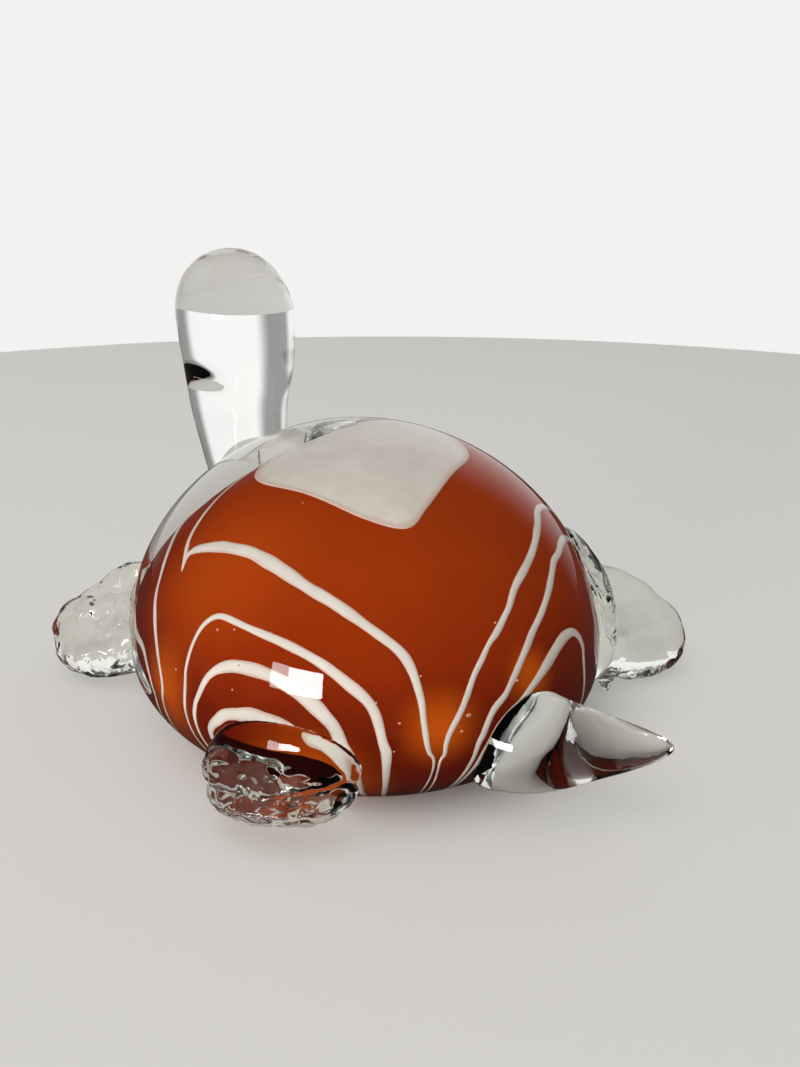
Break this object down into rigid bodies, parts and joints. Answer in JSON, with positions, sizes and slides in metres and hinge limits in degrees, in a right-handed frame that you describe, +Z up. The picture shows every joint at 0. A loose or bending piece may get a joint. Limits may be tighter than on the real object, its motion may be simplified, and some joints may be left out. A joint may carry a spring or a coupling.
{
  "type": "glass turtle figurine",
  "caption": "Solid glass turtle on a flat foot: an orange core with inlaid raked white threads under a clear dome, a clear upright neck and head, pressed flippers and a pointed tail.",
  "frame": {"origin": "centre of the bounding box at table level, under the domed body", "axes": "+X toward the head, +Y toward the turtle's left side, +Z up from the flat foot"},
  "size_m": [0.1142, 0.1064, 0.082],
  "materials": {
    "clear_glass": "fire-polished, clear with a faint green-yellow tint",
    "orange_glass": "opaque orange-red glass under a clear casing",
    "white_glass": "opaque white glass, raked hot and inlaid flush with the core"
  },
  "bodies": {
    "root": {"orange_core": "orange_glass", "clear_casing": "clear_glass", "white_crown_patch": "white_glass", "white_trail_01": "white_glass", "white_trail_02": "white_glass", "white_trail_03": "white_glass", "white_trail_04": "white_glass", "white_trail_05": "white_glass", "white_trail_06": "white_glass", "white_trail_07": "white_glass", "white_trail_08": "white_glass", "white_trail_09": "white_glass", "white_trail_10": "white_glass", "white_trail_11": "white_glass", "white_trail_12": "white_glass", "neck_and_head": "clear_glass", "front_left_flipper": "clear_glass", "front_right_flipper": "clear_glass", "rear_left_flipper": "clear_glass", "rear_right_flipper": "clear_glass", "tail": "clear_glass"}
  },
  "joints": []
}
